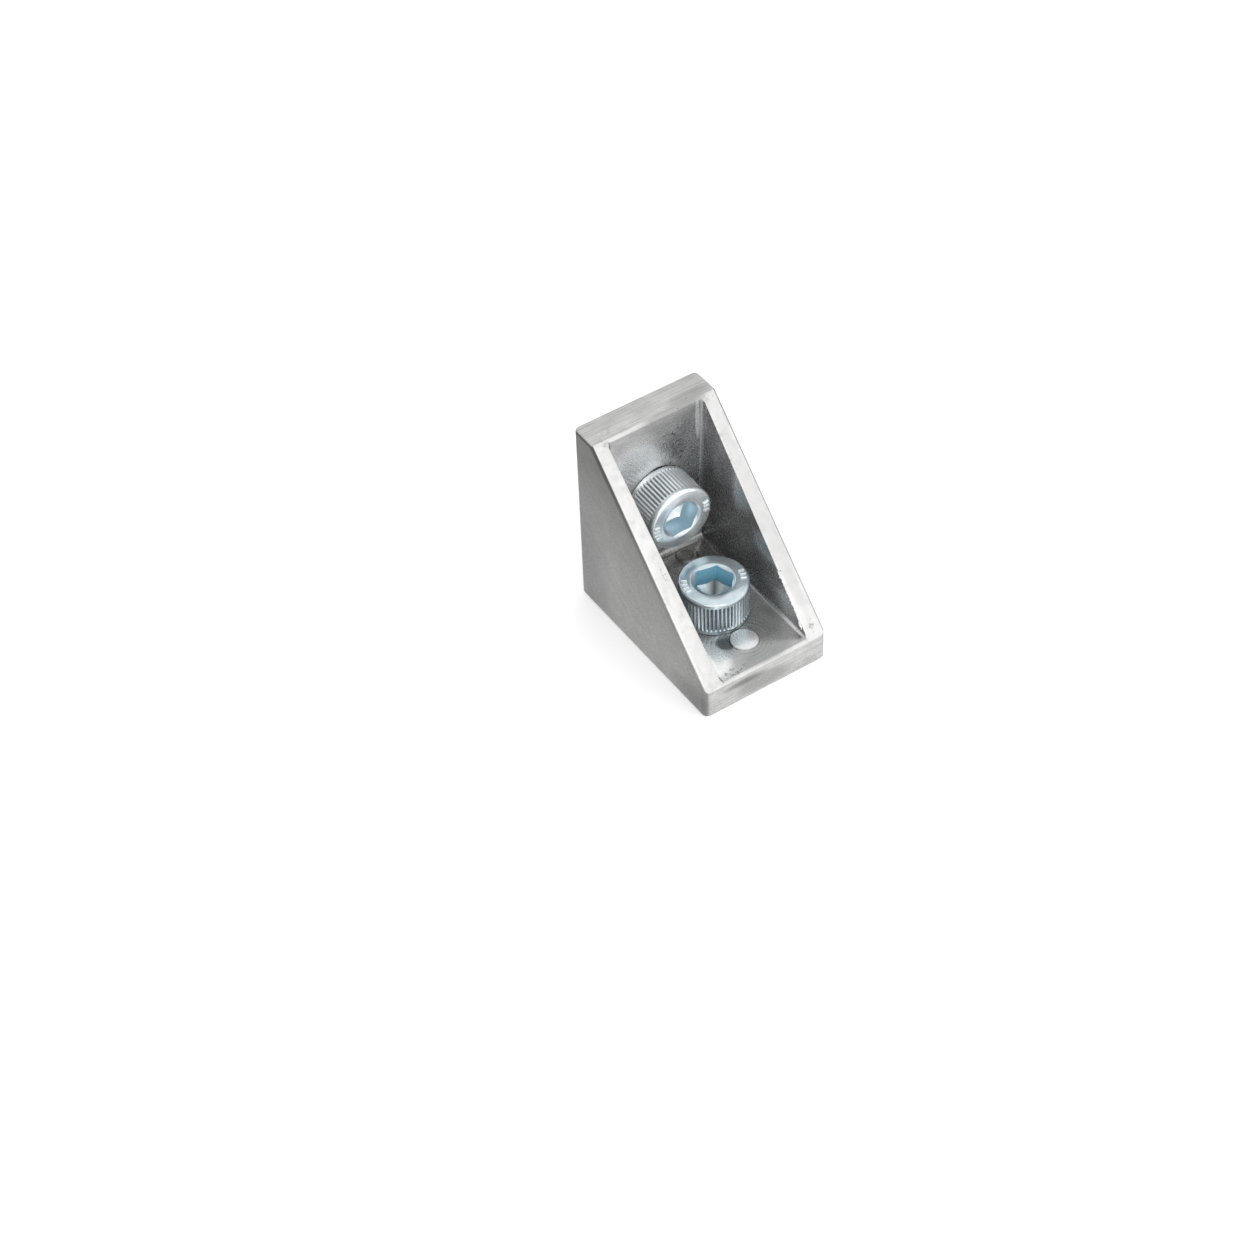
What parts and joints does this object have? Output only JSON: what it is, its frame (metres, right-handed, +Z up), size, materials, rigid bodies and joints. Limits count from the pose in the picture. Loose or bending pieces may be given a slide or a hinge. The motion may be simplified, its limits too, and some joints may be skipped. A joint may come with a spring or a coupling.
{
  "type": "corner bracket",
  "caption": "Die-cast corner bracket with triangular side walls, a screw slot in each leg and a socket head cap screw through each slot.",
  "frame": {"origin": "the line where the planes of the two mounting faces cross, at mid width", "axes": "+X along the foot, away from the upright; +Y along the width; +Z up along the upright"},
  "size_m": [0.0372, 0.02, 0.0372],
  "materials": {
    "casting": "die-cast, satin, with ground slope",
    "plated_screw": "zinc plated with a blue passivation"
  },
  "bodies": {
    "root": {"bracket_body": "casting", "foot_screw": "plated_screw", "wall_screw": "plated_screw"}
  },
  "joints": []
}
